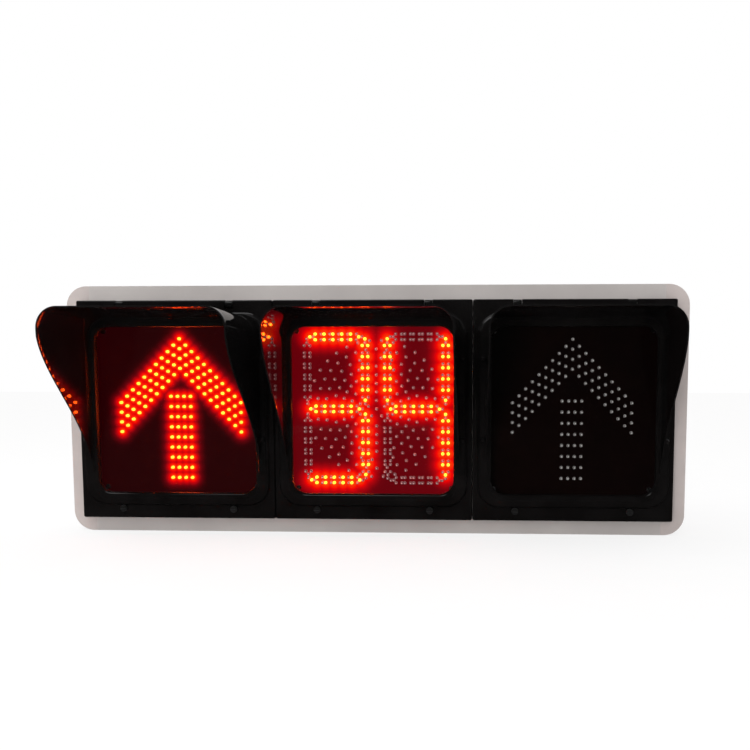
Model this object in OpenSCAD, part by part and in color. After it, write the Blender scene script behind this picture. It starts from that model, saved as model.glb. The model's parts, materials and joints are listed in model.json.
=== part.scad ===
// Horizontal three-section signal head: arrow, two-digit countdown, arrow.
// Millimetres. +Z is up and the lamps face -Y. The origin is the centre of the
// rear fixing holes, on the plane where the brackets meet the mast arm.

/* [Housing] */
// width of the housing over its end caps
head_w = 1096; // [1092:2:1120]
// height of the housing
head_h = 438; // [432:2:450]
// depth of the housing from its rim to its back
head_d = 124; // [116:2:150]
// thickness of the housing walls
wall = 3; // [2.5:0.5:4]
// corner radius of the end caps
corner_r = 36; // [26:2:40]
// width of each end cap
cap_w = 41; // [38:1:44]

/* [Doors] */
// distance between the centres of neighbouring doors
pitch = 350; // [350:1:352]
// width of one door
door_w = 349; // [347:0.5:349.2]
// height of one door
door_h = 386; // [384:1:388]
// thickness of the door panel
door_t = 14; // [14:0.5:16]
// width of the round-cornered window
window_w = 284; // [276:2:290]
// height of the round-cornered window
window_h = 292; // [284:2:298]
// how far the raised ring stands proud of the panel
ring_h = 8; // [6:0.5:9]
// thickness of the clear lens
lens_t = 4; // [3:0.5:5]

/* [Visors] */
// how far the visor reaches in front of the door panel
visor_d = 198; // [180:2:240]
// half width of the visor at its root
visor_x = 153; // [151:0.5:155]
// height of the top of the visor above the lamp centre
visor_z = 165; // [163:0.5:166]
// thickness of the visor sheet
visor_t = 2.5; // [2:0.5:3]
// how much each side leans inwards over the visor's length
visor_lean = 4; // [2:1:8]
// how much the top rises over the visor's length
visor_rise = 5; // [0:1:8]
// radius of the visor's top corners
visor_r = 34; // [28:1:40]
// height where the lower edge leaves the door
visor_z0 = -122; // [-130:2:-114]
// height where the lower edge reaches its full depth
visor_z1 = 125; // [119:2:127]

/* [Lamps] */
// radius of one lamp's epoxy body
led_r = 2.5; // [2:0.1:2.6]
// height of one lamp above its board
led_h = 7; // [6:0.5:8]
// how far the middle display sits to the right of its window's centre
display_x = 3.5; // [0:0.5:5]
// how far the middle display sits above its window's centre
display_z = 2; // [-2:0.5:3]
// distance from the middle display's centre to the middle of a digit
digit_x = 71.6; // [70.4:0.2:72.4]
// distance between the rings of the round symbol
ball_step = 15.2; // [14.6:0.1:15.6]

/* [Fixing] */
// distance of each rear bracket from the centre
bracket_x = 300; // [290:5:320]
// half the distance between a bracket's two fixing holes
fix_z = 100; // [80:5:110]
// radius of the fixing holes
fix_r = 5.5; // [4.5:0.5:6.5]

/* [Hidden] */
$fn = 64;
bracket_d = 30;
y_back = -bracket_d;
y_in = y_back - wall;
y_rim = y_back - head_d;
door_gap = 1.8;
y_door = y_rim - door_gap;
y_front = y_door - door_t;
y_ring = y_front - ring_h;
y_visor = y_front - visor_d;
seam_x = head_w / 2 - cap_w;
open_x = 1.5 * pitch - 8;
open_z = door_h / 2 - 13;
hinge_r = door_t / 2;
hinge_y = y_door - hinge_r;
hinge_z = door_h / 2 - hinge_r;
lug_x = 98;
lug_w = 14;
pin_r = 2;
latch_x = 100;
latch_z = -176;
stud_r = 3;
port_z = open_z + 20;
port_y = [y_rim + wall + 4.5, y_in - 4.5];
port_r = 5.5;
screw_seat = seam_x + 18;
ring_w = 331;
ring_z = 338;
y_lens = y_ring + 6;
lens_w = window_w + 16;
lens_z = window_h + 16;
y_pcb = y_rim + 14;
pcb_t = 1.6;
y_led = y_pcb - led_h;
post_x = 138;
post_z = 140;
boss_z = [90, -50];
centres = [-pitch, 0, pitch];
seg_col = 51.8;
seg_gap = 9.8;
seg_row = 19.66;
seg_step = 15.8;
seg_z = 66.7;
colour_x = 5.2;
colour_z = 6.5;
ball_rings = [1, 5, 10, 20, 30, 30, 30, 36, 36];

// ---- helpers ----

// a flat X-Z shape made solid from y0 to y1
module slab(y0, y1) {
  translate([0, y1, 0])
    rotate([90, 0, 0])
      linear_extrude(y1 - y0)
        children();
}

// a flat Y-Z shape made solid from x0 to x1
module bar(x0, x1) {
  translate([x0, 0, 0])
    rotate([90, 0, 90])
      linear_extrude(x1 - x0)
        children();
}

// a block between two corners
module block(lo, hi) {
  translate(lo)
    cube(hi - lo);
}

// a round bar along Y
module rod_y(x, z, y0, y1, r) {
  translate([x, y1, z])
    rotate([90, 0, 0])
      cylinder(r = r, h = y1 - y0);
}

// a round bar along X
module rod_x(y, z, x0, x1, r) {
  translate([x0, y, z])
    rotate([0, 90, 0])
      cylinder(r = r, h = x1 - x0);
}

// a hexagonal bar along Y, af across its flats
module hex_y(x, z, y0, y1, af) {
  translate([x, y1, z])
    rotate([90, 0, 0])
      cylinder(r = af / sqrt(3), h = y1 - y0, $fn = 6);
}

// a rectangle with round corners
module round_rect(w, h, r) {
  square([w - 2 * r, h], center = true);
  square([w, h - 2 * r], center = true);
  for (sx = [-1, 1], sz = [-1, 1])
    translate([sx * (w / 2 - r), sz * (h / 2 - r)])
      circle(r = r);
}

// a run of cable through a list of points, with a clip block at each bend
module cable(path, r) {
  for (i = [0 : len(path) - 2]) {
    d = path[i + 1] - path[i];
    translate(path[i])
      rotate([0, acos(d[2] / norm(d)), atan2(d[1], d[0])])
        cylinder(r = r, h = norm(d));
    if (i > 0)
      translate(path[i])
        cube(2.6 * r, center = true);
  }
}

// ---- housing ----

// the aluminium extrusion: back, top, bottom, two front lips, four screw ports
module housing_shell() {
  color([0.78, 0.79, 0.8])
    difference() {
      bar(-seam_x, seam_x)
        shell_section();
      for (sx = [-1, 1], dx = [-36, 36], sz = [-150, 150])
        rod_y(sx * bracket_x + dx, sz, y_in - 1, y_back + 1, 4.3);
      rod_y(0, -160, y_in - 1, y_back + 1, 8.2);
      rod_y(70, -160, y_in - 1, y_back + 1, 3.2);
    }
}

module shell_section() {
  difference() {
    union() {
      translate([y_in, -head_h / 2])
        square([wall, head_h]);
      for (sz = [-1, 1]) {
        translate([y_rim, sz * (head_h - wall) / 2 - wall / 2])
          square([head_d, wall]);
        translate([y_rim, min(sz * open_z, sz * head_h / 2)])
          square([wall, head_h / 2 - open_z]);
        for (y = port_y)
          translate([y, sz * port_z])
            circle(r = port_r);
      }
    }
    for (sz = [-1, 1], y = port_y)
      translate([y, sz * port_z])
        circle(r = 2.1);
  }
}

// a cast end cap, drawn for the right end
module end_cap() {
  difference() {
    union() {
      difference() {
        slab(y_rim, y_back)
          cap_outline(0);
        slab(y_rim + wall, y_in)
          cap_outline(wall);
        block([0, y_rim - 1, -open_z], [open_x, y_rim + wall + 1, open_z]);
      }
      intersection() {
        slab(y_rim, y_back)
          cap_outline(0);
        for (sz = [-1, 1], y = port_y)
          rod_x(y, sz * port_z, seam_x, head_w / 2, 6.5);
      }
    }
    for (sz = [-1, 1], y = port_y) {
      rod_x(y, sz * port_z, seam_x - 1, head_w / 2 + 1, 2.3);
      rod_x(y, sz * port_z, screw_seat, head_w / 2 + 1, 4.8);
    }
  }
}

module cap_outline(inset) {
  intersection() {
    round_rect(head_w - 2 * inset, head_h - 2 * inset, corner_r - inset);
    translate([seam_x - inset, -head_h])
      square([head_w, 2 * head_h]);
  }
}

module end_cap_right() {
  color([0.8, 0.79, 0.77])
    end_cap();
}

module end_cap_left() {
  color([0.8, 0.79, 0.77])
    mirror([1, 0, 0])
      end_cap();
}

// eight socket screws that pull the end caps onto the extrusion's ports
module end_cap_screws() {
  color([0.6, 0.6, 0.62])
    for (sx = [0, 1])
      mirror([sx, 0, 0])
        for (sz = [-1, 1], y = port_y)
          difference() {
            union() {
              rod_x(y, sz * port_z, screw_seat, screw_seat + 4, 4.4);
              rod_x(y, sz * port_z, seam_x - 22, screw_seat, 2);
            }
            rod_x(y, sz * port_z, screw_seat + 1.6, screw_seat + 5, 2);
          }
}

// the two upright bars behind the joints between doors
module mullions() {
  color([0.74, 0.75, 0.76])
    for (x = [-pitch / 2, pitch / 2]) {
      block([x - 10, y_rim, 0.2 - open_z], [x + 10, y_rim + wall, open_z - 0.2]);
      block([x - 1.5, y_rim, 10 - open_z], [x + 1.5, y_rim + 28, open_z - 10]);
      for (sz = [-1, 1])
        translate([x, y_rim + wall + 1.5, sz * (open_z - 1)])
          cube([20, 3, 22], center = true);
    }
}

// ---- hinges and latches ----

// fixed knuckles that hook round the upper lip, two to a door
module hinge_lugs() {
  color([0.07, 0.07, 0.08])
    for (x = centres, sx = [-1, 1])
      translate([x + sx * lug_x, 0, 0])
        difference() {
          union() {
            rod_x(hinge_y, hinge_z, -lug_w / 2, lug_w / 2, 6.7);
            block([-lug_w / 2, hinge_y, hinge_z - 6], [lug_w / 2, y_rim, hinge_z + 6]);
            block([-lug_w / 2, y_rim - 1, open_z - 6], [lug_w / 2, y_rim + wall + 3, open_z - 0.2]);
            block([-lug_w / 2, y_rim + wall, open_z - 6], [lug_w / 2, y_rim + wall + 3, open_z + 10]);
          }
          rod_x(hinge_y, hinge_z, -lug_w, lug_w, pin_r + 0.02);
        }
}

// steel pins, pushed in from the sides of the doors
module hinge_pins() {
  color([0.7, 0.7, 0.72])
    for (x = centres, sx = [0, 1])
      translate([x, 0, 0])
        mirror([sx, 0, 0])
          rod_x(hinge_y, hinge_z, lug_x - 13.5, lug_x + 48, pin_r);
}

// plates behind the lower lip that take the tips of the latch studs
module latch_receptacles() {
  color([0.66, 0.66, 0.68])
    for (x = centres, sx = [-1, 1])
      translate([x + sx * latch_x, 0, 0])
        difference() {
          block([-14, y_rim + wall, -open_z - 12], [14, y_rim + wall + 3, latch_z + 12]);
          rod_y(0, latch_z, y_rim, y_rim + 20, stud_r + 1);
        }
}

// a quarter-turn latch: slotted head, stud and retaining ring
module latch(x, sx) {
  color([0.12, 0.12, 0.13])
    translate([x + sx * latch_x, 0, latch_z])
      difference() {
        union() {
          rod_y(0, 0, y_front - 3.3, y_front - 0.3, 6.2);
          rod_y(0, 0, y_front - 1, y_rim + wall + 6.5, stud_r);
          rod_y(0, 0, y_door + 0.35, y_door + 1.35, 4.8);
        }
        block([-9, y_front - 4, -0.8], [9, y_front - 2, 0.8]);
      }
}

module latch_left_a() latch(-pitch, -1);
module latch_left_b() latch(-pitch, 1);
module latch_middle_a() latch(0, -1);
module latch_middle_b() latch(0, 1);
module latch_right_a() latch(pitch, -1);
module latch_right_b() latch(pitch, 1);

// ---- doors ----

// a moulded door: panel with a rounded hinge edge and a raised window ring
module door(x) {
  color([0.03, 0.03, 0.035])
    translate([x, 0, 0])
      difference() {
        union() {
          difference() {
            block([-door_w / 2, y_front, -door_h / 2], [door_w / 2, y_door, hinge_z]);
            block([3 - door_w / 2, y_front + 3.5, 3 - door_h / 2], [door_w / 2 - 3, y_door + 1, hinge_z - 9]);
          }
          rod_x(hinge_y, hinge_z, -door_w / 2, door_w / 2, hinge_r);
          slab(y_ring, y_door)
            round_rect(ring_w, ring_z, 38);
          for (sx = [-1, 1])
            rod_y(sx * latch_x, latch_z, y_front, y_door, 8);
        }
        slab(y_ring - 1, y_door + 1)
          round_rect(window_w, window_h, 25);
        slab(y_lens, y_door + 1)
          round_rect(lens_w, lens_z, 33);
        for (sx = [-1, 1]) {
          rod_y(sx * latch_x, latch_z, y_front - 1, y_door + 1, stud_r + 0.06);
          block([sx * lug_x - lug_w / 2 - 0.6, y_front - 1, hinge_z - 8],
                [sx * lug_x + lug_w / 2 + 0.6, y_door + 1, hinge_z + 8]);
        }
        for (sx = [0, 1])
          mirror([sx, 0, 0])
            rod_x(hinge_y, hinge_z, lug_x - 14, door_w / 2 + 1, pin_r + 0.06);
        visor_fixings(1.7, y_ring - 1, y_door + 1);
        visor_fixings(3.8, y_ring + 8, y_door + 1);
      }
}

// round bars at the five visor screws
module visor_fixings(r, y0, y1) {
  for (sx = [-1, 1], z = boss_z)
    rod_y(sx * (visor_x + 4), z, y0, y1, r);
  rod_y(0, visor_z - 1.5, y0, y1, r);
}

module door_left() door(-pitch);
module door_middle() door(0);
module door_right() door(pitch);

// the flat clear lens
module lens(x) {
  color([0.75, 0.8, 0.85, 0.25])
    translate([x, 0, 0])
      slab(y_lens, y_lens + lens_t)
        round_rect(lens_w - 1, lens_z - 1, 32.5);
}

module lens_left() lens(-pitch);
module lens_middle() lens(0);
module lens_right() lens(pitch);

// a flat ring the size of the lens seat
module lens_ring(x, y0, y1) {
  translate([x, 0, 0])
    slab(y0, y1)
      difference() {
        round_rect(lens_w - 1, lens_z - 1, 32.5);
        round_rect(window_w + 2, window_h + 2, 26);
      }
}

module lens_gasket(x) {
  color([0.05, 0.05, 0.05])
    lens_ring(x, y_lens + lens_t, y_lens + lens_t + 3);
}

module lens_gasket_left() lens_gasket(-pitch);
module lens_gasket_middle() lens_gasket(0);
module lens_gasket_right() lens_gasket(pitch);

// the frame that clamps the lens and its gasket into the door
module lens_retainer(x) {
  color([0.1, 0.1, 0.11])
    lens_ring(x, y_lens + lens_t + 3, y_lens + lens_t + 7.5);
}

module lens_retainer_left() lens_retainer(-pitch);
module lens_retainer_middle() lens_retainer(0);
module lens_retainer_right() lens_retainer(pitch);

// the foam seal between a door and the rim
module door_gasket(x) {
  color([0.06, 0.06, 0.06])
    translate([x, 0, 0])
      difference() {
        block([1 - door_w / 2, y_door, 1 - door_h / 2], [door_w / 2 - 1, y_rim - 0.3, hinge_z - 0.5]);
        block([8 - door_w / 2, y_door - 1, 7.5 - door_h / 2], [door_w / 2 - 8, y_rim, open_z + 0.5]);
        for (sx = [-1, 1])
          block([sx * lug_x - lug_w / 2 - 0.6, y_door - 1, 0],
                [sx * lug_x + lug_w / 2 + 0.6, y_rim, door_h]);
      }
}

module door_gasket_left() door_gasket(-pitch);
module door_gasket_middle() door_gasket(0);
module door_gasket_right() door_gasket(pitch);

// ---- visors ----

// share of the full depth at a fraction t of the way up the lower edge
function visor_share(t) = 0.35 * t + 0.65 * ease(pow(t, 1.25));
function ease(t) = t * t * (3 - 2 * t);

// half of the tunnel's cross section, drawn for the right side
module visor_half(inset) {
  r = visor_r - inset;
  x = visor_x - inset;
  z = visor_z - inset;
  translate([-6, -200])
    square([x - r + 6, z + 200]);
  translate([-6, -200])
    square([x + 6, z - r + 200]);
  translate([x - r, z - r])
    circle(r = r);
}

// one leaning half of the tunnel
module visor_side() {
  translate([visor_x, y_ring, visor_z])
    rotate([-atan(visor_rise / (visor_d - ring_h)), 0, -atan(visor_lean / (visor_d - ring_h))])
      translate([-visor_x, -y_ring, -visor_z])
        slab(y_visor - 20, y_ring + 20)
          difference() {
            visor_half(0);
            visor_half(visor_t);
          }
}

// the space below the swept lower edge
module visor_cutaway() {
  steps = 28;
  edge = [for (i = [0 : steps]) [y_front - visor_d * visor_share(i / steps),
                                 visor_z0 + (visor_z1 - visor_z0) * i / steps]];
  bar(-visor_x - 30, visor_x + 30)
    polygon(concat([[y_ring + 40, visor_z0]], edge,
                   [[y_visor - 40, visor_z1], [y_visor - 40, -260], [y_ring + 40, -260]]));
}

// the flange that sits on the window ring
module visor_flange() {
  slab(y_ring - 3, y_ring)
    intersection() {
      difference() {
        round_rect(2 * visor_x + 17, 2 * visor_z + 7, visor_r + 4);
        round_rect(2 * visor_x - 10, 2 * visor_z - 12, visor_r - 6);
      }
      translate([-200, visor_z0 + 12])
        square([400, 400]);
    }
}

module visor(x) {
  color([0.02, 0.02, 0.025])
    translate([x, 0, 0])
      difference() {
        union() {
          intersection() {
            union() {
              visor_side();
              mirror([1, 0, 0])
                visor_side();
            }
            block([-200, y_visor, -200], [200, y_ring, 200]);
          }
          visor_flange();
          visor_fixings(4.5, y_ring - 12, y_ring);
        }
        visor_cutaway();
        visor_fixings(1.3, y_ring - 10, y_ring + 1);
      }
}

module visor_left() visor(-pitch);
module visor_middle() visor(0);
module visor_right() visor(pitch);

// screws that hold a visor from behind its door
module visor_screws(x) {
  color([0.7, 0.7, 0.72])
    translate([x, 0, 0]) {
      visor_fixings(1.25, y_ring - 8, y_ring + 9);
      visor_fixings(3, y_ring + 8, y_ring + 10.5);
    }
}

module visor_screws_left() visor_screws(-pitch);
module visor_screws_middle() visor_screws(0);
module visor_screws_right() visor_screws(pitch);

// ---- lamps ----

// one lamp at a place on its board
module led(p) {
  rod_y(p[0], p[1], y_led, y_pcb, led_r, $fn = 24);
}

// four chevron rows of n lamps a side, dx and dz apart, the top one's tip at z
function arrow_head(n, dx, dz, row, z) = [
  for (k = [0 : 3], i = [-n : n])
    [i * dx, z - k * row - abs(i) * dz]
];
// rows of four lamps, dx and dz apart, the top one at z
function arrow_shaft(rows, dx, dz, z) = [
  for (k = [0 : rows - 1], c = [-1.5, -0.5, 0.5, 1.5]) [c * dx, z - k * dz]
];

// the twelve places of a segment, along it and across it; shift moves the rows
function seg_places(step, tip, shift) = concat(
  [for (i = [-2 : 2], t = [-0.5, 0.5]) [i * step + shift, t * seg_gap]],
  [[shift / 2 - tip, 0], [shift / 2 + tip, 0]]
);
function across(x, z, c) = [
  for (q = seg_places(seg_step, 43.5, c * colour_x)) [x + q[0], z + display_z + q[1]]
];
function upright(x, z, c) = [
  for (q = seg_places(seg_row, 54.2, -c * colour_z)) [x + q[1], z + display_z + q[0]]
];

// a to g of a seven-segment digit; c is -1 for the first colour and 1 for the second
function segment(n, x, c) =
  n == 0 ? across(x, 127.8, c) :
  n == 1 ? upright(x + seg_col, seg_z, c) :
  n == 2 ? upright(x + seg_col, -seg_z, c) :
  n == 3 ? across(x, -127.8, c) :
  n == 4 ? upright(x - seg_col, -seg_z, c) :
  n == 5 ? upright(x - seg_col, seg_z, c) :
  across(x, 0, c);
function lamps(x, list, c) = [for (n = list) each segment(n, x + display_x, c)];
function nearest(p, all) = min([for (q = all) norm(p - q)]);

first_on = [0, 1, 2, 3, 6];
first_off = [4, 5];
second_on = [1, 2, 5, 6];
second_off = [0, 3, 4];
lit_places = concat(lamps(-digit_x, first_on, -1), lamps(digit_x, second_on, -1));
dark_places = concat(
  lamps(-digit_x, first_off, -1), lamps(digit_x, second_off, -1),
  lamps(-digit_x, concat(first_on, first_off), 1),
  lamps(digit_x, concat(second_on, second_off), 1)
);
ball_places = [
  for (k = [0 : len(ball_rings) - 1], i = [0 : ball_rings[k] - 1])
    let (a = 360 * (i + (k == 6 || k == 8 ? 0.45 : 0)) / ball_rings[k])
      let (p = [display_x + ball_step * k * sin(a), display_z + ball_step * k * cos(a)])
        if (nearest(p, concat(lit_places, dark_places)) > 5.3) p
];
arrow_left_places = concat(
  arrow_head(10, 10.91, 11.4, 17.54, 126.7), arrow_shaft(9, 11.88, 18.34, 23.9));
arrow_right_places = concat(
  arrow_head(9, 11.62, 12.4, 17.48, 125.1), arrow_shaft(8, 11.47, 19.64, 16.7));

module led_group(x, places) {
  translate([x, 0, 0])
    for (p = places)
      led(p);
}

module arrow_leds_left() {
  color([1, 0.15, 0.05])
    led_group(-pitch, arrow_left_places);
}

module arrow_leds_right() {
  color([0.85, 0.85, 0.85])
    led_group(pitch, arrow_right_places);
}

module digit_leds_lit() {
  color([1, 0.2, 0.05])
    led_group(0, lit_places);
}

module digit_leds_dark() {
  color([0.85, 0.8, 0.8])
    led_group(0, dark_places);
}

module ball_leds() {
  color([0.85, 0.8, 0.8])
    led_group(0, ball_places);
}

module led_board(x) {
  color([0.03, 0.05, 0.04])
    translate([x, 0, 0])
      slab(y_pcb, y_pcb + pcb_t)
        difference() {
          round_rect(302, 306, 10);
          for (sx = [-1, 1], sz = [-1, 1])
            translate([sx * post_x, sz * post_z])
              circle(r = 2.7);
        }
}

module led_board_left() led_board(-pitch);
module led_board_middle() led_board(0);
module led_board_right() led_board(pitch);

// pillars from the back wall to the boards
module board_standoffs() {
  color([0.75, 0.72, 0.6]) {
    for (x = centres, sx = [-1, 1], sz = [-1, 1])
      difference() {
        rod_y(x + sx * post_x, sz * post_z, y_pcb + pcb_t, y_in, 5);
        rod_y(x + sx * post_x, sz * post_z, y_pcb, y_pcb + 16, 2.55);
      }
    for (sx = [-1, 1], sz = [-1, 1])
      rod_y(sx * 76, 20 + sz * 56, y_in - 16, y_in, 3.5);
  }
}

module board_screws() {
  color([0.75, 0.75, 0.77])
    for (x = centres, sx = [-1, 1], sz = [-1, 1]) {
      rod_y(x + sx * post_x, sz * post_z, y_pcb - 3, y_pcb, 4.6);
      rod_y(x + sx * post_x, sz * post_z, y_pcb - 1, y_pcb + 12, 2.5);
    }
}

// ---- electrics ----

// a sealed lamp driver with fixing ears
module driver(x) {
  color([0.55, 0.57, 0.6])
    translate([x, 0, 0])
      difference() {
        union() {
          block([-70, y_in - 38, -40], [70, y_in, 40]);
          block([-84, y_in - 4, -20], [84, y_in, 20]);
        }
        for (sx = [-1, 1])
          rod_y(sx * 77, 0, y_in - 5, y_in - 1, 2.6);
        for (i = [-5 : 5])
          block([i * 12 - 1.5, y_in - 39, -41], [i * 12 + 1.5, y_in - 34, 41]);
      }
}

module driver_left() driver(-pitch);
module driver_right() driver(pitch);

// the countdown controller and what is mounted on it
module controller_board() {
  color([0.08, 0.3, 0.14])
    block([-90, y_in - 17.6, -50], [90, y_in - 16, 90]);
}

module controller_parts() {
  y = y_in - 17.6;
  color([0.2, 0.2, 0.22]) {
    block([-80, y - 36, 30], [-34, y, 70]);
    for (i = [0 : 3])
      block([-20 + i * 24, y - 16, 52], [-2 + i * 24, y, 80]);
    for (i = [0 : 2])
      rod_y(-64 + i * 22, 6, y - 26, y, 8);
    block([6, y - 3, -6], [38, y, 26]);
    block([54, y - 10, -30], [76, y, 30]);
    block([-70, y - 9, -46], [50, y, -34]);
  }
}

// mains terminal strip
module terminal_block() {
  color([0.85, 0.84, 0.78])
    difference() {
      block([-60, y_in - 24, -112], [60, y_in, -88]);
      for (i = [-5 : 5])
        rod_y(i * 10, -100, y_in - 25, y_in - 14, 2.4);
      for (i = [-5 : 4])
        block([i * 10 + 4.5, y_in - 25, -113], [i * 10 + 5.5, y_in - 18, -87]);
    }
}

// the supply cable's inlet
module cable_gland() {
  color([0.06, 0.06, 0.07])
    difference() {
      union() {
        rod_y(0, -160, y_in - 12, y_back, 8);
        hex_y(0, -160, y_back, y_back + 8, 22);
        rod_y(0, -160, y_back + 8, y_back + 22, 9.6);
      }
      rod_y(0, -160, y_in - 13, y_back + 23, 5);
    }
}

module gland_locknut() {
  color([0.08, 0.08, 0.09])
    difference() {
      hex_y(0, -160, y_in - 5, y_in, 22);
      rod_y(0, -160, y_in - 6, y_in + 1, 8.05);
    }
}

// protective-earth stud with its nuts
module earth_stud() {
  color([0.8, 0.7, 0.4]) {
    rod_y(70, -160, y_in - 20, y_back + 5, 3);
    hex_y(70, -160, y_back, y_back + 5, 10);
    hex_y(70, -160, y_in - 5, y_in, 10);
    hex_y(70, -160, y_in - 13, y_in - 8, 10);
  }
}

// wiring that stays inside the housing, clipped at each bend
module wiring_loom() {
  ys = y_in - 18;
  yb = y_in - 10;
  yc = y_in - 27.6;
  yd = y_in - 38;
  yp = y_pcb + pcb_t;
  color([0.5, 0.1, 0.08]) {
    cable([[0, y_in - 12, -160], [0, ys, -160], [0, ys, -112]], 4);
    cable([[-20, y_in - 21.5, -88], [-20, y_in - 21.5, -46]], 2);
    for (sx = [-1, 1])
      cable([[sx * 30, yb, -88], [sx * 30, yb, -70], [sx * 240, yb, -70], [sx * 240, yb, 30], [sx * 280, yb, 30]], 3);
    for (x = [-pitch, pitch])
      cable([[x - 30, yd, 20], [x - 30, yd - 30, 20], [x - 30, yd - 30, 70], [x - 30, yp, 70]], 2.5);
    for (sz = [-1, 1])
      cable([[65, yc, sz * 14], [65, yc - 30, sz * 14], [65, yc - 30, sz * 50], [65, yp, sz * 50]], 2.5);
  }
}

// ---- rear brackets ----

// a hat-section bracket with its two fixing holes
module rear_bracket(x) {
  color([0.72, 0.73, 0.74])
    translate([x, 0, 0])
      difference() {
        union() {
          block([-25, -4, -180], [25, 0, 180]);
          for (sx = [0, 1])
            mirror([sx, 0, 0]) {
              block([21, y_back, -180], [25, 0, 180]);
              block([21, y_back, -180], [48, y_back + 4, 180]);
            }
        }
        for (sz = [-1, 1])
          rod_y(0, sz * fix_z, -5, 1, fix_r);
        for (dx = [-36, 36], z = [-150, 150])
          rod_y(dx, z, y_back - 1, y_back + 5, 4.3);
      }
}

module rear_bracket_left() rear_bracket(-bracket_x);
module rear_bracket_right() rear_bracket(bracket_x);

// bolts through the bracket feet and the back wall
module bracket_bolts() {
  color([0.7, 0.7, 0.72])
    for (sx = [-1, 1], dx = [-36, 36], z = [-150, 150]) {
      hex_y(sx * bracket_x + dx, z, y_back + 4, y_back + 9.3, 13);
      rod_y(sx * bracket_x + dx, z, y_in - 10, y_back + 5, 4);
    }
}

module bracket_nuts() {
  color([0.7, 0.7, 0.72])
    for (sx = [-1, 1], dx = [-36, 36], z = [-150, 150])
      difference() {
        hex_y(sx * bracket_x + dx, z, y_in - 6.5, y_in, 13);
        rod_y(sx * bracket_x + dx, z, y_in - 8, y_in + 1, 4.05);
      }
}

// ---- what is drawn ----

housing_shell();
end_cap_left();
end_cap_right();
end_cap_screws();
mullions();
hinge_lugs();
hinge_pins();
latch_receptacles();
rear_bracket_left();
rear_bracket_right();
bracket_bolts();
bracket_nuts();
led_board_left();
led_board_middle();
led_board_right();
board_standoffs();
board_screws();
arrow_leds_left();
arrow_leds_right();
digit_leds_lit();
digit_leds_dark();
ball_leds();
driver_left();
driver_right();
controller_board();
controller_parts();
terminal_block();
cable_gland();
gland_locknut();
earth_stud();
wiring_loom();
door_left();
lens_left();
lens_gasket_left();
lens_retainer_left();
door_gasket_left();
visor_left();
visor_screws_left();
door_middle();
lens_middle();
lens_gasket_middle();
lens_retainer_middle();
door_gasket_middle();
visor_middle();
visor_screws_middle();
door_right();
lens_right();
lens_gasket_right();
lens_retainer_right();
door_gasket_right();
visor_right();
visor_screws_right();
latch_left_a();
latch_left_b();
latch_middle_a();
latch_middle_b();
latch_right_a();
latch_right_b();
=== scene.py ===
"""Looks of the horizontal LED signal head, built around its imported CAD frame. Metres, front towards -Y."""
import bmesh
import bpy
import json
import math
from mathutils import Matrix, Vector


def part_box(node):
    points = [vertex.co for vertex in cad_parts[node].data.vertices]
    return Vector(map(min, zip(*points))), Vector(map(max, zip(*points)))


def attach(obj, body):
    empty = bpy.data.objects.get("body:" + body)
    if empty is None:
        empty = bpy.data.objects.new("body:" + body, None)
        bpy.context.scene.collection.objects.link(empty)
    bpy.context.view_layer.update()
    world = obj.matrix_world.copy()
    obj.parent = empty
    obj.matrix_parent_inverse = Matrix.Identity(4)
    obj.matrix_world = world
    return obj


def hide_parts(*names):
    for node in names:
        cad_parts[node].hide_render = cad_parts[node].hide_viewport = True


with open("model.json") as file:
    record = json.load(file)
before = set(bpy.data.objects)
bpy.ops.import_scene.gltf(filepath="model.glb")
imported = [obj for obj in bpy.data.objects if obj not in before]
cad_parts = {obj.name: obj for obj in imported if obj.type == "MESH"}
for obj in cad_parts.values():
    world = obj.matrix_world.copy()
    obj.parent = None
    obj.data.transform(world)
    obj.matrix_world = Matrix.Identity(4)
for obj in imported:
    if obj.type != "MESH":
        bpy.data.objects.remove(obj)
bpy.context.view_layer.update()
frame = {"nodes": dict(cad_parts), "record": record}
MM = 0.001
SHARP = 38  # degrees: edges sharper than this stay crisp

# ---------------------------------------------------------------- places taken from the frame
SIDES = ("left", "middle", "right")
lo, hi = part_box("door_middle")
DOOR_W = hi[0] - lo[0]
DOOR_LOW, DOOR_TOP = lo[2], hi[2]
DOOR_MID = (DOOR_LOW + DOOR_TOP) / 2
DOOR_H = DOOR_TOP - DOOR_LOW
Y_RING, Y_DOOR = lo[1], hi[1]
DOOR_T = 14 * MM
Y_FRONT = Y_DOOR - DOOR_T
RING_H = Y_FRONT - Y_RING
HINGE_R = DOOR_T / 2
HINGE_Y, HINGE_Z = Y_DOOR - HINGE_R, DOOR_TOP - HINGE_R
CENTRE = {s: (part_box("door_" + s)[0][0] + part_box("door_" + s)[1][0]) / 2 for s in SIDES}
Y_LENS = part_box("lens_middle")[0][1]
WINDOW = (284 * MM, 292 * MM, 25 * MM)
SEAT = (300 * MM, 308 * MM, 33 * MM)
LUG_X, LUG_W = 98 * MM, 14 * MM
lo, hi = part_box("visor_middle")
Y_VISOR = lo[1]
VISOR_D = Y_FRONT - Y_VISOR
VISOR_X, VISOR_Z, VISOR_T = 153 * MM, 165 * MM, 2.5 * MM
VISOR_R, VISOR_LEAN, VISOR_RISE = 34 * MM, 4 * MM, 5 * MM
VISOR_Z0, VISOR_Z1 = -122 * MM, 125 * MM
FLANGE_SQUASH = 0.41  # the flange stands out less over the top than at the sides
lo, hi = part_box("arrow_leds_left")
Y_LED, Y_PCB = lo[1], hi[1]
PCB_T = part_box("led_board_middle")[1][1] - Y_PCB
BOARD = (302 * MM, 306 * MM, 10 * MM)
HEAD_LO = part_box("housing_shell")[0]


# ---------------------------------------------------------------- node materials
def material(name):
    m = bpy.data.materials.new(name)
    m.use_nodes = True
    return m, m.node_tree, m.node_tree.nodes["Principled BSDF"]


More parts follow.
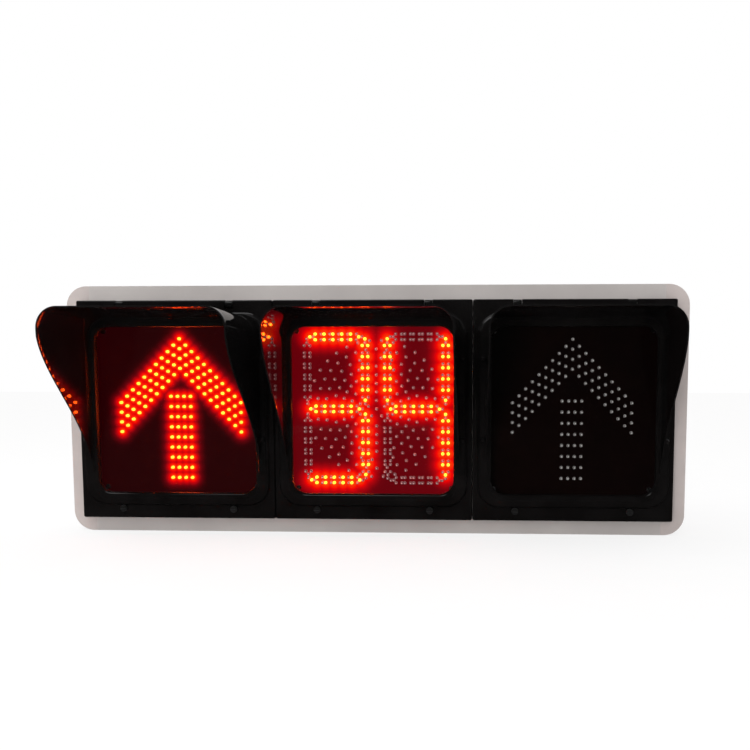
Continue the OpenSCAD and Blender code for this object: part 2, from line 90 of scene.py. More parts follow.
def coords(nt, scale=(1, 1, 1)):
    """Object coordinates, stretched by scale."""
    tc = nt.nodes.new("ShaderNodeTexCoord")
    mp = nt.nodes.new("ShaderNodeMapping")
    mp.inputs["Scale"].default_value = scale
    nt.links.new(tc.outputs["Object"], mp.inputs["Vector"])
    return mp.outputs["Vector"]


def noise(nt, vec, scale, detail=4.0, rough=0.55):
    n = nt.nodes.new("ShaderNodeTexNoise")
    n.inputs["Scale"].default_value = scale
    n.inputs["Detail"].default_value = detail
    n.inputs["Roughness"].default_value = rough
    nt.links.new(vec, n.inputs["Vector"])
    return n.outputs["Fac"]


def spread(nt, fac, low, high, frm=(0.3, 0.7)):
    """fac mapped from the range frm to low..high."""
    r = nt.nodes.new("ShaderNodeMapRange")
    r.inputs["From Min"].default_value, r.inputs["From Max"].default_value = frm
    r.inputs["To Min"].default_value, r.inputs["To Max"].default_value = low, high
    nt.links.new(fac, r.inputs["Value"])
    return r.outputs["Result"]


def blend_colour(nt, fac, a, b):
    m = nt.nodes.new("ShaderNodeMix")
    m.data_type = "RGBA"
    m.inputs["A"].default_value = (*a, 1)
    m.inputs["B"].default_value = (*b, 1)
    nt.links.new(fac, m.inputs["Factor"])
    return m.outputs["Result"]


def bump(nt, bsdf, height, strength, distance=0.0004):
    b = nt.nodes.new("ShaderNodeBump")
    b.inputs["Strength"].default_value = strength
    b.inputs["Distance"].default_value = distance
    nt.links.new(height, b.inputs["Height"])
    nt.links.new(b.outputs["Normal"], bsdf.inputs["Normal"])


def finish_material(name, colour, worn, rough, bump_scale, bump_strength, metallic=0.0,
                    stretch=(1, 1, 1), patch=14.0, specular=0.5, coat=0.0, distance=0.0004):
    """A surface with colour drift between colour and worn, drifting roughness and a fine relief."""
    m, nt, bsdf = material(name)
    vec = coords(nt)
    fine = coords(nt, stretch)
    drift = noise(nt, vec, patch, 5.0)
    speck = noise(nt, fine, bump_scale, 3.0)
    nt.links.new(blend_colour(nt, spread(nt, drift, 0, 1), colour, worn), bsdf.inputs["Base Color"])
    nt.links.new(spread(nt, drift, rough[0], rough[1]), bsdf.inputs["Roughness"])
    bsdf.inputs["Metallic"].default_value = metallic
    bsdf.inputs["Specular IOR Level"].default_value = specular
    bsdf.inputs["Coat Weight"].default_value = coat
    bsdf.inputs["Coat Roughness"].default_value = 0.04
    bump(nt, bsdf, speck, bump_strength, distance)
    return m


def glass_material():
    """Clear moulded sheet that lets lamp light through, with a trace of haze in its surface."""
    m, nt, bsdf = material("lens_clear")
    vec = coords(nt)
    bsdf.inputs["Base Color"].default_value = (0.93, 0.95, 0.96, 1)
    bsdf.inputs["Transmission Weight"].default_value = 1.0
    bsdf.inputs["IOR"].default_value = 1.49
    nt.links.new(spread(nt, noise(nt, vec, 30), 0.0, 0.03), bsdf.inputs["Roughness"])
    clear = nt.nodes.new("ShaderNodeBsdfTransparent")
    clear.inputs["Color"].default_value = (0.93, 0.95, 0.96, 1)
    path = nt.nodes.new("ShaderNodeLightPath")
    mix = nt.nodes.new("ShaderNodeMixShader")
    nt.links.new(path.outputs["Is Shadow Ray"], mix.inputs["Fac"])
    nt.links.new(bsdf.outputs["BSDF"], mix.inputs[1])
    nt.links.new(clear.outputs["BSDF"], mix.inputs[2])
    nt.links.new(mix.outputs["Shader"], nt.nodes["Material Output"].inputs["Surface"])
    return m


def clear_lamp_painted_highlight_material(name, body, tip):
    """An unlit lamp with a painted highlight: dark at its clear sides, pale where the dome's tip faces
    forward, and a faint painted glow from that pale tip though the lamp is off.
    """
    m = finish_material(name, body, tip, (0.08, 0.16), 300, 0.05, specular=0.6)
    nt, bsdf = m.node_tree, m.node_tree.nodes["Principled BSDF"]
    tc = nt.nodes.new("ShaderNodeTexCoord")
    axes = nt.nodes.new("ShaderNodeSeparateXYZ")
    nt.links.new(tc.outputs["Normal"], axes.inputs["Vector"])
    # Painted highlight: pale where the normal faces forward (-Y), dark towards the sides.
    seen = blend_colour(nt, spread(nt, axes.outputs["Y"], 1, 0, (-0.96, -0.7)), body, tip)
    nt.links.new(seen, bsdf.inputs["Base Color"])
    # Painted glow: the lamp is off, yet it emits faintly in the same colours, brightest at its pale tip.
    nt.links.new(seen, bsdf.inputs["Emission Color"])
    bsdf.inputs["Emission Strength"].default_value = 0.3
    return m


def lit_material(name, colour, strength):
    m, nt, bsdf = material(name)
    bsdf.inputs["Base Color"].default_value = (0.8, 0.12, 0.06, 1)
    bsdf.inputs["Roughness"].default_value = 0.15
    vec = coords(nt)
    nt.links.new(spread(nt, noise(nt, vec, 60, 1.0), strength * 0.85, strength * 1.15),
                 bsdf.inputs["Emission Strength"])
    bsdf.inputs["Emission Color"].default_value = (*colour, 1)
    return m


def board_material(name, glow):
    """Black solder mask, with a painted red glow (emission) that stands in for the light the lamps throw on
    it, from the mesh's glow values.
    """
    m, nt, bsdf = material(name)
    vec = coords(nt)
    drift = noise(nt, vec, 25, 4.0)
    nt.links.new(blend_colour(nt, spread(nt, drift, 0, 1), (0.007, 0.002, 0.002), (0.012, 0.0035, 0.003)),
                 bsdf.inputs["Base Color"])
    nt.links.new(spread(nt, noise(nt, vec, 90), 0.35, 0.55), bsdf.inputs["Roughness"])
    bsdf.inputs["Specular IOR Level"].default_value = 0.06
    bump(nt, bsdf, noise(nt, vec, 700, 2.0), 0.05, 0.0002)
    # Painted light: the glow values drive a red emission on the board, strongest beside the lit lamps.
    if glow:
        att = nt.nodes.new("ShaderNodeAttribute")
        att.attribute_name = "glow"
        ramp = nt.nodes.new("ShaderNodeValToRGB")
        ramp.color_ramp.elements[0].color = (0, 0, 0, 1)
        ramp.color_ramp.elements[1].color = (1, 0.05, 0.002, 1)
        for pos, col in ((0.1, (0.022, 0.0, 0.001)), (0.35, (0.15, 0.0, 0.003)),
                         (0.6, (0.5, 0.0, 0.003)), (0.8, (0.95, 0.0, 0.0))):
            e = ramp.color_ramp.elements.new(pos)
            e.color = (*col, 1)
        nt.links.new(att.outputs["Fac"], ramp.inputs["Fac"])
        nt.links.new(ramp.outputs["Color"], bsdf.inputs["Emission Color"])
        bsdf.inputs["Emission Strength"].default_value = 1.1
    return m


MATS = {
    "extrusion": finish_material("extrusion", (0.50, 0.465, 0.45), (0.56, 0.525, 0.505),
                                 (0.32, 0.46), 900, 0.1, 0.2, (0.02, 1, 1), 10),
    "cap_paint": finish_material("cap_paint", (0.43, 0.38, 0.365), (0.49, 0.435, 0.415),
                                 (0.4, 0.55), 420, 0.2),
    "door_black": finish_material("door_black", (0.003, 0.0027, 0.0027), (0.006, 0.0055, 0.0055),
                                  (0.03, 0.1), 160, 0.01, specular=0.35, patch=22),
    "visor_black": finish_material("visor_black", (0.003, 0.003, 0.003), (0.006, 0.0055, 0.0055),
                                   (0.012, 0.04), 60, 0.0015, specular=0.5, patch=18),
    "lens_clear": glass_material(),
    "seal_rubber": finish_material("seal_rubber", (0.02, 0.02, 0.02), (0.035, 0.035, 0.035),
                                   (0.6, 0.8), 500, 0.3),
    "seal_foam": finish_material("seal_foam", (0.03, 0.03, 0.03), (0.05, 0.05, 0.05),
                                 (0.8, 0.95), 900, 0.8),
    "retainer_black": finish_material("retainer_black", (0.012, 0.012, 0.012), (0.022, 0.022, 0.022),
                                      (0.4, 0.6), 600, 0.3),
    "latch_black": finish_material("latch_black", (0.006, 0.006, 0.006), (0.014, 0.014, 0.014),
                                   (0.2, 0.38), 700, 0.2, specular=0.3),
    "hinge_black": finish_material("hinge_black", (0.003, 0.003, 0.003), (0.006, 0.006, 0.006),
                                   (0.15, 0.3), 500, 0.2, specular=0.25),
    "board_black": board_material("board_black", False),
    "board_green": finish_material("board_green", (0.02, 0.13, 0.05), (0.03, 0.17, 0.07),
                                   (0.3, 0.45), 800, 0.2),
    "component_black": finish_material("component_black", (0.03, 0.03, 0.035), (0.05, 0.05, 0.055),
                                       (0.35, 0.55), 600, 0.2),
    "led_red_on": lit_material("led_red_on", (1.0, 0.085, 0.005), 20.0),
    "arrow_red_on": lit_material("arrow_red_on", (1.0, 0.075, 0.005), 16.0),
    "led_clear": clear_lamp_painted_highlight_material("led_clear", (0.14, 0.115, 0.105), (0.9, 0.87, 0.84)),
    # led_clear_lit is a red-tinted copy of the clear lamp: painted red light from the lit lamps beside it,
    # on body and tip.
    "led_clear_lit": clear_lamp_painted_highlight_material("led_clear_lit", (0.2, 0.05, 0.05), (0.95, 0.66, 0.66)),
    "driver_case": finish_material("driver_case", (0.42, 0.43, 0.45), (0.5, 0.51, 0.53),
                                   (0.35, 0.5), 700, 0.2, 0.6),
    "terminal_plastic": finish_material("terminal_plastic", (0.62, 0.59, 0.47), (0.7, 0.67, 0.56),
                                        (0.4, 0.55), 500, 0.2),
    "gland_nylon": finish_material("gland_nylon", (0.02, 0.02, 0.022), (0.035, 0.035, 0.037),
                                   (0.4, 0.55), 500, 0.3),
    "wire_sheath": finish_material("wire_sheath", (0.30, 0.03, 0.025), (0.36, 0.05, 0.04),
                                   (0.4, 0.5), 400, 0.2),
    "brass": finish_material("brass", (0.62, 0.46, 0.2), (0.7, 0.55, 0.28), (0.25, 0.4), 900, 0.1, 1.0),
    "zinc": finish_material("zinc", (0.58, 0.59, 0.6), (0.7, 0.69, 0.66), (0.28, 0.42), 700, 0.15, 1.0),
    "stainless": finish_material("stainless", (0.62, 0.62, 0.63), (0.7, 0.7, 0.7),
                                 (0.2, 0.35), 900, 0.1, 1.0),
    "galvanised": finish_material("galvanised", (0.5, 0.52, 0.54), (0.62, 0.64, 0.66),
                                  (0.35, 0.55), 120, 0.15, 0.8, patch=60),
}


# ---------------------------------------------------------------- mesh helpers
def new_object(name, mesh, mat, smooth=SHARP):
    obj = bpy.data.objects.new(name, mesh)
    bpy.context.scene.collection.objects.link(obj)
    mesh.materials.append(mat)
    mesh.shade_smooth()
    mesh.set_sharp_from_angle(angle=math.radians(smooth))
    return obj


def from_bmesh(name, bm, mat, smooth=SHARP):
    bmesh.ops.recalc_face_normals(bm, faces=bm.faces)
    mesh = bpy.data.meshes.new(name)
    bm.to_mesh(mesh)
    bm.free()
    return new_object(name, mesh, mat, smooth)


def rounded(w, h, r, steps=10):
    """Points (x, z) round a rectangle with round corners, anticlockwise."""
    pts = []
    for k, (sx, sz) in enumerate(((1, 1), (-1, 1), (-1, -1), (1, -1))):
        for i in range(steps + 1):
            a = math.radians(90 * k + 90 * i / steps)
            pts.append((sx * (w / 2 - r) + r * math.cos(a), sz * (h / 2 - r) + r * math.sin(a)))
    return pts


def nested(bm, loops, x=0.0, z=0.0, closed=False, steps=10):
    """A surface through rounded rectangles, each (w, h, r, y)."""
    rings = []
    for w, h, r, y in loops:
        rings.append([bm.verts.new((x + px, y, z + pz)) for px, pz in rounded(w, h, r, steps)])
    if closed:
        rings.append(rings[0])
    for a, b in zip(rings, rings[1:]):
        n = len(a)
        for i in range(n):
            bm.faces.new((a[i], a[(i + 1) % n], b[(i + 1) % n], b[i]))
    return rings


def prism(bm, outline, x0, x1):
    """A solid bar along X with a Y-Z outline."""
    a = [bm.verts.new((x0, y, z)) for y, z in outline]
    b = [bm.verts.new((x1, y, z)) for y, z in outline]
    n = len(outline)
    for i in range(n):
        bm.faces.new((a[i], a[(i + 1) % n], b[(i + 1) % n], b[i]))
    bm.faces.new(a[::-1])
    bm.faces.new(b)


def box_mesh(bm, lo, hi):
    prism(bm, [(lo[1], lo[2]), (hi[1], lo[2]), (hi[1], hi[2]), (lo[1], hi[2])], lo[0], hi[0])


def lathe(bm, profile, x, z, segments=12):
    """A round body about a line along Y. profile is (radius, y), from the base to the tip."""
    rings = []
    for r, y in profile:
        if r < 1e-6:
            rings.append([bm.verts.new((x, y, z))])
        else:
            rings.append([bm.verts.new((x + r * math.cos(math.tau * i / segments), y,
                                        z + r * math.sin(math.tau * i / segments)))
                          for i in range(segments)])
    for a, b in zip(rings, rings[1:]):
        for i in range(segments):
            j = (i + 1) % segments
            if len(b) == 1:
                bm.faces.new((a[i], a[j], b[0]))
            elif len(a) == 1:
                bm.faces.new((a[0], b[j], b[i]))
            else:
                bm.faces.new((a[i], a[j], b[j], b[i]))
    if len(rings[0]) > 1:
        bm.faces.new(rings[0])


def cut(obj, cutter_bm):
    """Takes the cutter away from obj, and keeps the result as obj's mesh."""
    bmesh.ops.recalc_face_normals(cutter_bm, faces=cutter_bm.faces)
    mesh = bpy.data.meshes.new("cutter")
    cutter_bm.to_mesh(mesh)
    cutter_bm.free()
    cutter = bpy.data.objects.new("cutter", mesh)
    bpy.context.scene.collection.objects.link(cutter)
    mod = obj.modifiers.new("cut", "BOOLEAN")
    mod.operation = "DIFFERENCE"
    mod.solver = "EXACT"
    mod.use_self = True
    mod.object = cutter
    apply_modifiers(obj)
    bpy.data.objects.remove(cutter)
    obj.data.set_sharp_from_angle(angle=math.radians(SHARP))


def apply_modifiers(obj):
    deps = bpy.context.evaluated_depsgraph_get()
    mesh = bpy.data.meshes.new_from_object(obj.evaluated_get(deps))
    obj.modifiers.clear()
    obj.data = mesh


def place(obj, body, slot, *nodes):
    """obj rides on body and stands for nodes, which it hides; slot is not used."""
    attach(obj, body)
    if nodes:
        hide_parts(*nodes)


# ---------------------------------------------------------------- doors
def door_loops():
    """The door's outline from its back edge, over the ring, into the window and back."""
    w, h = DOOR_W, DOOR_H
    win_w, win_h, win_r = WINDOW
    ring = [  # growth over the window on each side, corner radius, height over the panel
        (27.0, 42.0, 0.0), (25.0, 40.5, 0.5), (23.9, 39.2, 1.8), (23.2, 38.4, 4.0), (21.8, 37.2, 6.2),
        (19.4, 35.6, 7.5), (16.0, 33.5, 8.0), (8.5, 29.0, 7.8), (4.2, 27.0, 6.9),
        (1.6, 25.8, 5.2), (0.3, 25.2, 3.4), (0.0, 25.0, 2.0),
    ]
    loops = [
        (w - 2 * MM, h - 2 * MM, 2.5 * MM, Y_DOOR),
        (w, h, 3 * MM, Y_DOOR - 1 * MM),
        (w, h, 3 * MM, Y_FRONT + 2.6 * MM),
        (w - 0.7 * MM, h - 0.7 * MM, 3 * MM, Y_FRONT + 1.2 * MM),
        (w - 2.4 * MM, h - 2.4 * MM, 3 * MM, Y_FRONT + 0.3 * MM),
        (w - 5 * MM, h - 5 * MM, 3 * MM, Y_FRONT),
    ]
    loops += [(win_w + 2 * g * MM, win_h + 2 * (g - 1) * MM if g > 20 else win_h + 2 * g * MM,
               r * MM, Y_FRONT - up * MM) for g, r, up in ring]
    loops += [(*SEAT, Y_LENS), (*SEAT, Y_DOOR)]
    return loops


def door(side):
    x = CENTRE[side]
    bm = bmesh.new()
    nested(bm, door_loops(), x, DOOR_MID, closed=True)
    obj = from_bmesh("door_panel_" + side, bm, MATS["door_black"])
    tool = bmesh.new()
    for sx in (-1, 1):
        half = LUG_W / 2 + 0.6 * MM
        box_mesh(tool, (x + sx * LUG_X - half, Y_FRONT - 3 * MM, HINGE_Z - 8 * MM),
                 (x + sx * LUG_X + half, Y_DOOR + 3 * MM, DOOR_TOP + 3 * MM))
    cut(obj, tool)
    tool = bmesh.new()
    turns = [math.radians(9 * i) for i in range(11)]
    arc = [(HINGE_Y + HINGE_R * math.sin(a), HINGE_Z + HINGE_R * math.cos(a)) for a in turns]
    over = 4 * MM
    arc += [(Y_DOOR + over, HINGE_Z), (Y_DOOR + over, DOOR_TOP + over), (HINGE_Y, DOOR_TOP + over)]
    prism(tool, arc, x - DOOR_W, x + DOOR_W)
    cut(obj, tool)
    place(obj, "door_" + side, "door_black", "door_" + side)


# ---------------------------------------------------------------- visors
def visor_share(t):
    """Share of the full depth at a fraction t of the way up the swept lower edge."""
    e = t ** 1.25
    return 0.35 * t + 0.65 * e * e * (3 - 2 * e)


def visor_depth(z):
    if z >= VISOR_Z1:
        return VISOR_D
    return VISOR_D * visor_share(max(0.0, (z - VISOR_Z0) / (VISOR_Z1 - VISOR_Z0)))


def arch(low, inset=0.0, wall_steps=34, corner_steps=12, top_steps=16):
    """Points (x, z, normal x, normal z) of the tunnel's outline, from low right over the top to low left."""
    x, z, r = VISOR_X - inset, VISOR_Z - inset, VISOR_R - inset
    right = [(x, low + (z - r - low) * i / wall_steps, 1.0, 0.0) for i in range(wall_steps)]
    for i in range(corner_steps + 1):
        a = math.radians(90 * i / corner_steps)
        right.append((x - r + r * math.cos(a), z - r + r * math.sin(a), math.cos(a), math.sin(a)))
    top = [((x - r) * (1 - 2 * i / top_steps), z, 0.0, 1.0) for i in range(1, top_steps)]
    left = [(-px, pz, -nx, nz) for px, pz, nx, nz in reversed(right)]
    return right + top + left


def visor(side):
    x = CENTRE[side]
    length = VISOR_D - RING_H
    low = VISOR_Z0
    while visor_depth(low) < RING_H + 0.6 * MM:
        low += 0.5 * MM
    depth_steps = 22
    bm = bmesh.new()
    skins = []
    for inset in (0.0, VISOR_T):
        grid = []
        for px, pz, nx, nz in arch(low):
            reach = 0.0
            for _ in range(8):
                reach = max(0.5 * MM, visor_depth(pz + VISOR_RISE * reach / length) - RING_H)
            column = []
            for j in range(depth_steps + 1):
                s = reach * j / depth_steps
                shrink = 1 - VISOR_LEAN / VISOR_X * s / length
                rise = VISOR_RISE * s / length
                column.append(bm.verts.new((x + (px - nx * inset) * shrink, Y_RING - s,
                                            pz - nz * inset + rise)))
            grid.append(column)
        for a, b in zip(grid, grid[1:]):
            for j in range(depth_steps):
                bm.faces.new((a[j], b[j], b[j + 1], a[j + 1]))
        skins.append(grid)
    outer, inner = skins
    for a, b, c, d in zip(outer, outer[1:], inner, inner[1:]):
        bm.faces.new((a[-1], b[-1], d[-1], c[-1]))
        bm.faces.new((a[0], b[0], d[0], c[0]))
    for i in (0, -1):
        for j in range(depth_steps):
            bm.faces.new((outer[i][j], outer[i][j + 1], inner[i][j + 1], inner[i][j]))
    flange_low = VISOR_Z0 + 12 * MM
    section = [(-5, 0), (7.7, 0), (8.5, -0.8), (8.5, -2.2), (7.7, -3), (-4.2, -3), (-5, -2.2)]
    rings = [[bm.verts.new((x + px + nx * o * MM, Y_RING + y * MM,
                            pz + nz * o * MM * (FLANGE_SQUASH if o > 0 else 1.0)))
              for o, y in section] for px, pz, nx, nz in arch(flange_low)]
    for a, b in zip(rings, rings[1:]):
        for i in range(len(section)):
            j = (i + 1) % len(section)
            bm.faces.new((a[i], a[j], b[j], b[i]))
    bm.faces.new(rings[0])
    bm.faces.new(rings[-1][::-1])
    for bx, bz in ((-1, 90), (1, 90), (-1, -50), (1, -50), (0, None)):
        px = x + bx * (VISOR_X + 4 * MM)
        pz = VISOR_Z - 1.5 * MM if bz is None else bz * MM
        lathe(bm, [(4.5 * MM, Y_RING), (4.5 * MM, Y_RING - 9 * MM), (4.1 * MM, Y_RING - 10.6 * MM),
                   (3.0 * MM, Y_RING - 11.7 * MM), (0, Y_RING - 12 * MM)], px, pz, 20)
    obj = from_bmesh("visor_hood_" + side, bm, MATS["visor_black"])
    mod = obj.modifiers.new("soft_edges", "BEVEL")
    mod.width = 0.7 * MM
    mod.segments = 3
    mod.limit_method = "ANGLE"
    mod.angle_limit = math.radians(60)
    apply_modifiers(obj)
    obj.data.set_sharp_from_angle(angle=math.radians(SHARP))
    place(obj, "door_" + side, "visor_black", "visor_" + side)


# ---------------------------------------------------------------- lamps
DISPLAY_X, DISPLAY_Z, DIGIT_X = 3.5, 2.0, 71.6
SEG_COL, SEG_GAP, SEG_ROW, SEG_STEP, SEG_Z = 51.8, 9.8, 19.66, 15.8, 66.7
COLOUR_X, COLOUR_Z = 5.2, 6.5
BALL_STEP = 15.2
BALL_RINGS = (1, 5, 10, 20, 30, 30, 30, 36, 36)
LAMP_GAP = 5.3  # least distance between a ball lamp and a digit lamp
GLOW_CELL, GLOW_END = 0.04, 0.06  # metres: search cell, and the distance where no lamp is near


def to_metres(points):
    return [(x * MM, z * MM) for x, z in points]


def arrow_places(n, head, top, rows, shaft, low):
    """Four chevron rows of n lamps a side, then the shaft's rows of four, in metres."""
    dx, dz, row = head
    pts = [(i * dx, top - k * row - abs(i) * dz) for k in range(4) for i in range(-n, n + 1)]
    pts += [(c * shaft[0], low - k * shaft[1]) for k in range(rows) for c in (-1.5, -0.5, 0.5, 1.5)]
    return to_metres(pts)


def segment(n, x, colour):
    """The lamps of one segment, a to g. colour is -1 for the first and 1 for the second."""
    flat = n in (0, 3, 6)
    step, tip, shift = (SEG_STEP, 43.5, colour * COLOUR_X) if flat else (SEG_ROW, 54.2, -colour * COLOUR_Z)
    line = [(i * step + shift, t * SEG_GAP) for i in range(-2, 3) for t in (-0.5, 0.5)]
    line += [(shift / 2 - tip, 0), (shift / 2 + tip, 0)]
    if flat:
        z = {0: 127.8, 3: -127.8, 6: 0}[n]
        return [(x + a, DISPLAY_Z + z + t) for a, t in line]
    side = 1 if n in (1, 2) else -1
    z = SEG_Z if n in (1, 5) else -SEG_Z
    return [(x + side * SEG_COL + t, DISPLAY_Z + z + a) for a, t in line]


def segments(x, numbers, colour):
    return [p for n in numbers for p in segment(n, x + DISPLAY_X, colour)]


FIRST_ON, FIRST_OFF = (0, 1, 2, 3, 6), (4, 5)
SECOND_ON, SECOND_OFF = (1, 2, 5, 6), (0, 3, 4)
lit = segments(-DIGIT_X, FIRST_ON, -1) + segments(DIGIT_X, SECOND_ON, -1)
dark = segments(-DIGIT_X, FIRST_OFF, -1) + segments(DIGIT_X, SECOND_OFF, -1)
dark += segments(-DIGIT_X, FIRST_ON + FIRST_OFF, 1) + segments(DIGIT_X, SECOND_ON + SECOND_OFF, 1)
ball = []
for ring_no, count in enumerate(BALL_RINGS):
    for i in range(count):
        a = math.tau * (i + (0.45 if ring_no in (6, 8) else 0)) / count
        p = (DISPLAY_X + BALL_STEP * ring_no * math.sin(a), DISPLAY_Z + BALL_STEP * ring_no * math.cos(a))
        if min(math.dist(p, q) for q in lit + dark) > LAMP_GAP:
            ball.append(p)
lit, dark, ball = to_metres(lit), to_metres(dark), to_metres(ball)


def lamp_group(name, side, places, mat, slot, node, radius=2.5):
    bm = bmesh.new()
    r = radius * MM
    tall = Y_PCB - Y_LED
    dome = [(r * math.cos(math.radians(a)), Y_LED + r - r * math.sin(math.radians(a)))
            for a in (0, 25, 50, 72)]
    profile = [(r + 0.3 * MM, Y_PCB), (r + 0.3 * MM, Y_PCB - 1 * MM), (r, Y_PCB - 1.1 * MM)]\
        + dome + [(0, Y_LED)]
    for px, pz in places:
        lathe(bm, profile, CENTRE[side] + px, pz)
    obj = from_bmesh(name, bm, mat, 50)
    place(obj, "housing", slot, node)


def board(side, sources, reach, far):
    """A circuit board as a fine grid. Its glow values, which drive a painted red glow, fall off from the lit
    lamps over reach mm, to far.
    """
    step = 1.6 * MM if sources else 6 * MM
    nx, nz = round(BOARD[0] / step), round(BOARD[1] / step)
    bm = bmesh.new()
    rows = [[bm.verts.new((CENTRE[side] + (i / nx - 0.5) * BOARD[0], Y_PCB, (j / nz - 0.5) * BOARD[1]))
             for i in range(nx + 1)] for j in range(nz + 1)]
    for a, b in zip(rows, rows[1:]):
        for i in range(nx):
            bm.faces.new((a[i], a[i + 1], b[i + 1], b[i]))
    edge = ([rows[0][i] for i in range(nx + 1)] + [r[nx] for r in rows[1:]]
            + [rows[nz][i] for i in range(nx - 1, -1, -1)] + [rows[j][0] for j in range(nz - 1, 0, -1)])
    back = [bm.verts.new((v.co.x, Y_PCB + PCB_T, v.co.z)) for v in edge]
    n = len(edge)
    for i in range(n):
        bm.faces.new((edge[i], edge[(i + 1) % n], back[(i + 1) % n], back[i]))
    bm.faces.new(back)
    mat = board_material("board_" + side, True) if sources else MATS["board_black"]
    obj = from_bmesh("lamp_board_" + side, bm, mat)
    if sources:
        att = obj.data.attributes.new("glow", "FLOAT", "POINT")
        cells = {}
        for p in sources:
            cells.setdefault((round(p[0] / GLOW_CELL), round(p[1] / GLOW_CELL)), []).append(p)
        for v in obj.data.vertices:
            px, pz = v.co.x - CENTRE[side], v.co.z
            key = (round(px / GLOW_CELL), round(pz / GLOW_CELL))
            near = [q for dx in (-1, 0, 1) for dz in (-1, 0, 1)
                    for q in cells.get((key[0] + dx, key[1] + dz), ())]
            d = min((math.dist((px, pz), q) for q in near), default=GLOW_END) / MM
            att.data[v.index].value = far + (1 - far) * math.exp(-(d / reach) ** 2)
    place(obj, "housing", "board_black", "led_board_" + side)


# ---------------------------------------------------------------- CAD nodes that stay, with soft edges
def soften(node, width, segments=2, angle=35):
    """Welds a CAD node's mesh and rounds its sharp edges."""
    obj = frame["nodes"][node]
    weld = obj.modifiers.new("weld", "WELD")
    weld.merge_threshold = 0.00001
    bevel = obj.modifiers.new("soft_edges", "BEVEL")
    bevel.width = width * MM
    bevel.segments = segments
    bevel.limit_method = "ANGLE"
    bevel.angle_limit = math.radians(angle)
    bevel.harden_normals = False


def paint_cad():
    """Every carried-over CAD node takes the material of its slot in the record."""
    for part in frame["record"]["subparts"]:
        obj = frame["nodes"].get(part["node"])
        if obj is None:
            continue
        mat = MATS[part["material_slot"]]
        if not obj.data.materials:
            obj.data.materials.append(mat)
        for s in obj.material_slots:
            s.material = mat


# ---------------------------------------------------------------- stage, light and camera
def stage():
    """A white floor and sky to the camera. Mirrors see them dark, so the lenses stay black."""
    bm = bmesh.new()
    z = HEAD_LO[2]
    size = 9.0
    verts = [bm.verts.new((sx * size, sy * size, z)) for sx, sy in ((-1, -1), (1, -1), (1, 1), (-1, 1))]
    bm.faces.new(verts)
    floor = from_bmesh("floor", bm, finish_material("floor", (0.87, 0.87, 0.87), (0.9, 0.9, 0.9), (0.8, 0.9),
                                                    40, 0.01, specular=0.0))
    nt = floor.data.materials[0].node_tree
    out = nt.nodes["Material Output"]
    dim = nt.nodes.new("ShaderNodeBsdfDiffuse")
    dim.inputs["Color"].default_value = (0.012, 0.010, 0.009, 1)
    path = nt.nodes.new("ShaderNodeLightPath")
    mix = nt.nodes.new("ShaderNodeMixShader")
    nt.links.new(path.outputs["Is Glossy Ray"], mix.inputs["Fac"])
    nt.links.new(nt.nodes["Principled BSDF"].outputs["BSDF"], mix.inputs[1])
    nt.links.new(dim.outputs["BSDF"], mix.inputs[2])
    white = nt.nodes.new("ShaderNodeEmission")
    seen = nt.nodes.new("ShaderNodeMixShader")
    share = nt.nodes.new("ShaderNodeMath")
    share.operation = "MULTIPLY"
    share.inputs[1].default_value = 0.8
    nt.links.new(path.outputs["Is Camera Ray"], share.inputs[0])
    nt.links.new(share.outputs["Value"], seen.inputs["Fac"])
    nt.links.new(mix.outputs["Shader"], seen.inputs[1])
    nt.links.new(white.outputs["Emission"], seen.inputs[2])
    nt.links.new(seen.outputs["Shader"], out.inputs["Surface"])
    world = bpy.data.worlds.new("studio")
    bpy.context.scene.world = world
    world.use_nodes = True
    nt = world.node_tree
    back = nt.nodes["Background"]
    path = nt.nodes.new("ShaderNodeLightPath")
    tc = nt.nodes.new("ShaderNodeTexCoord")
    axes = nt.nodes.new("ShaderNodeSeparateXYZ")
    nt.links.new(tc.outputs["Generated"], axes.inputs["Vector"])
    tint = blend_colour(nt, spread(nt, axes.outputs["Y"], 0, 1, (-0.35, 0.25)),
                        (0.012, 0.011, 0.010), (0.55, 0.55, 0.56))
    shown = nt.nodes.new("ShaderNodeMix")
    shown.data_type = "RGBA"
    shown.inputs["A"].default_value = (0.95, 0.94, 0.94, 1)
    nt.links.new(tint, shown.inputs["B"])
    nt.links.new(path.outputs["Is Glossy Ray"], shown.inputs["Factor"])
    final = nt.nodes.new("ShaderNodeMix")
    final.data_type = "RGBA"
    final.inputs["B"].default_value = (1.0, 1.0, 1.0, 1)
    nt.links.new(shown.outputs["Result"], final.inputs["A"])
    nt.links.new(path.outputs["Is Camera Ray"], final.inputs["Factor"])
    nt.links.new(final.outputs["Result"], back.inputs["Color"])


def area_light(name, place_at, aim, size, power, mirrored):
    """A soft box. mirrored says whether glossy surfaces reflect it."""
    data = bpy.data.lights.new(name, "AREA")
    data.shape = "RECTANGLE"
    data.size, data.size_y = size
    data.energy = power
    obj = bpy.data.objects.new(name, data)
    bpy.context.scene.collection.objects.link(obj)
    obj.location = place_at
    obj.rotation_euler = (Vector(aim) - Vector(place_at)).to_track_quat("-Z", "Y").to_euler()
    obj.visible_glossy = obj.visible_transmission = mirrored


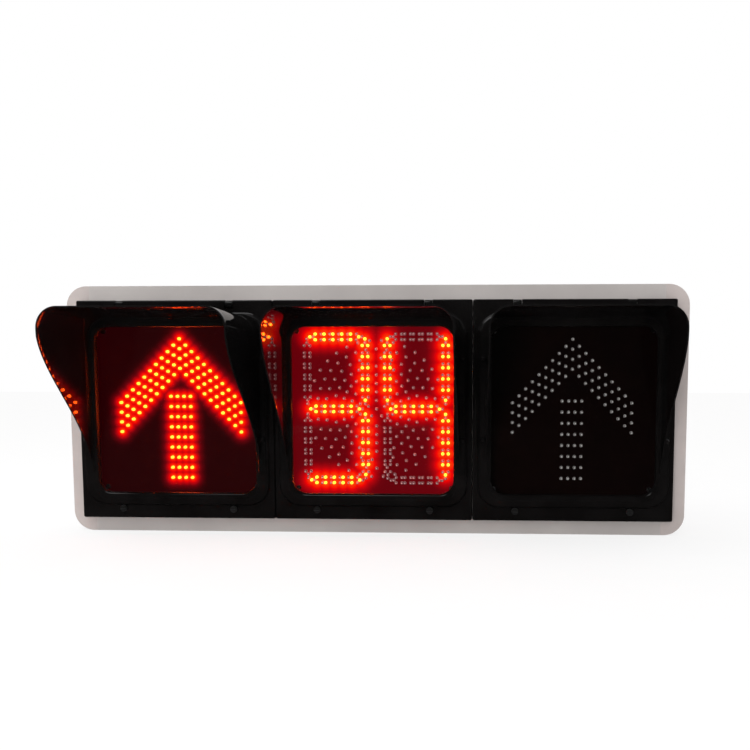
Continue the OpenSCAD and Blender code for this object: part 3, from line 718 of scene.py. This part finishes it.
def camera():
    """The photograph's view: slightly above and to the right of the middle, tilted down."""
    distance, side, height = 1.5530, 0.1873, 0.0751
    yaw, pitch, roll = -0.0492, 0.0968, 0.0003
    fwd = Vector((math.sin(yaw) * math.cos(pitch), math.cos(yaw) * math.cos(pitch), -math.sin(pitch)))
    right = Vector((math.cos(yaw), -math.sin(yaw), 0))
    up = right.cross(fwd)
    r = math.cos(roll) * right + math.sin(roll) * up
    u = -math.sin(roll) * right + math.cos(roll) * up
    data = bpy.data.cameras.new("camera")
    focal, frame_side, sensor = 890, 750, 36.0
    data.sensor_width = sensor
    data.lens = focal / frame_side * sensor
    data.shift_x, data.shift_y = -0.081, 0.1057
    obj = bpy.data.objects.new("camera", data)
    bpy.context.scene.collection.objects.link(obj)
    rot = Matrix((r, u, -fwd)).transposed().to_4x4()
    obj.matrix_world = Matrix.Translation((side, Y_FRONT - distance, height)) @ rot
    bpy.context.scene.camera = obj
    bpy.context.scene.view_settings.view_transform = "Standard"


# ---------------------------------------------------------------- build
paint_cad()
for s in SIDES:
    door(s)
    visor(s)
# mm: chevron lamps a side, (pitch, drop, row), top, shaft rows, shaft (pitch, row), shaft top
arrow_left = arrow_places(10, (10.91, 11.4, 17.54), 126.7, 9, (11.88, 18.34), 23.9)
arrow_right = arrow_places(9, (11.62, 12.4, 17.48), 125.1, 8, (11.47, 19.64), 16.7)
# reach and far shape the painted red glow around the lit lamps on each board.
board("left", arrow_left, 14.0, 0.07)
board("middle", lit, 18.0, 0.31)
board("right", [], 0, 0)
lamp_group("lamps_arrow_left", "left", arrow_left, MATS["arrow_red_on"], "led_red_on", "arrow_leds_left")
# The right arrow's unlit lamps carry a painted highlight and a faint painted glow at their tips.
lamp_group("lamps_arrow_right", "right", arrow_right, MATS["led_clear"], "led_clear", "arrow_leds_right")
lamp_group("lamps_digits_lit", "middle", lit, MATS["led_red_on"], "led_red_on", "digit_leds_lit")
# The dark digit and ball lamps take the red-tinted copy, with painted red light from the lit digits.
lamp_group("lamps_digits_dark", "middle", dark, MATS["led_clear_lit"], "led_clear", "digit_leds_dark")
lamp_group("lamps_ball", "middle", ball, MATS["led_clear_lit"], "led_clear", "ball_leds")
for node, width in (("end_cap_left", 1.5), ("end_cap_right", 1.5), ("mullions", 0.4), ("hinge_lugs", 0.5),
                    ("driver_left", 0.6), ("driver_right", 0.6), ("terminal_block", 0.4),
                    ("controller_parts", 0.6), ("cable_gland", 0.5), ("bracket_bolts", 0.4),
                    ("bracket_nuts", 0.4)):
    soften(node, width)
for s in SIDES:
    for k in "ab":
        soften("latch_{}_{}".format(s, k), 0.35)
stage()
area_light("fill", (-0.5, -3.1, 0.1), (0, -0.2, -0.1), (0.8, 0.8), 26, False)
area_light("top", (-0.9, -1.0, 2.2), (0, 0, 0), (2.2, 1.4), 26, True)
camera()
